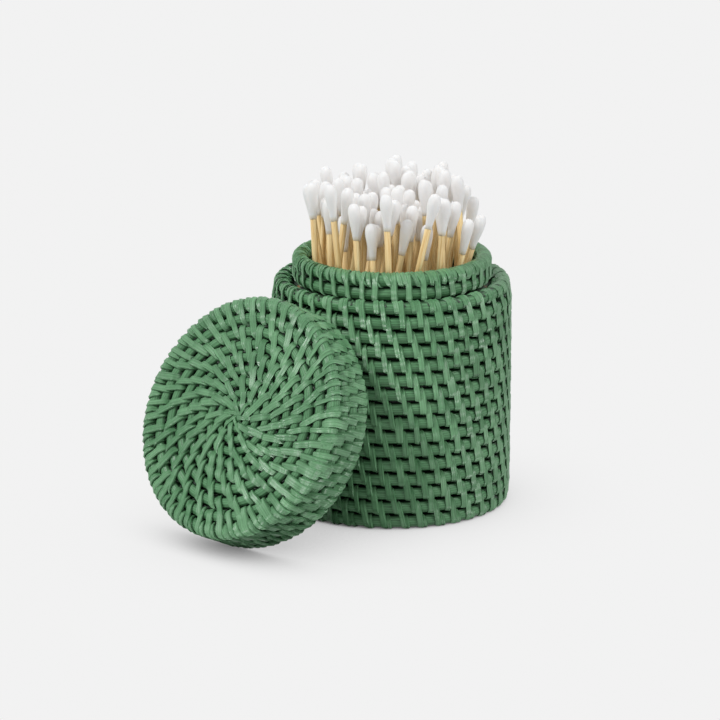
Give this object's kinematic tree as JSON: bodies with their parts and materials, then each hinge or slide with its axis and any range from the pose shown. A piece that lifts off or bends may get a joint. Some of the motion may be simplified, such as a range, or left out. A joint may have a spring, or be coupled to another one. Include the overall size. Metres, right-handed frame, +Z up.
{
  "type": "rattan canister",
  "caption": "Coiled rattan canister with a necked opening, a lift-off woven lid leaning against its wall, and a bunch of cotton buds standing in it.",
  "frame": {"origin": "middle of the canister's flat foot, on the table", "axes": "+Z up along the canister's axis; the lid leans on the wall at the front left, towards -X and -Y"},
  "size_m": [0.1444, 0.146, 0.1321],
  "materials": {
    "lacquered_rattan": "satin green lacquer over coiled rattan",
    "card": "plain matt card",
    "bamboo": "bare split bamboo, matt",
    "cotton": "wound white cotton, matt"
  },
  "bodies": {
    "root": {"canister_wall": "lacquered_rattan", "canister_base": "lacquered_rattan", "neck_collar": "lacquered_rattan", "lid": "lacquered_rattan", "bud_riser": "card", "bud_sticks": "bamboo", "bud_heads_upper": "cotton", "bud_heads_lower": "cotton"}
  },
  "joints": []
}
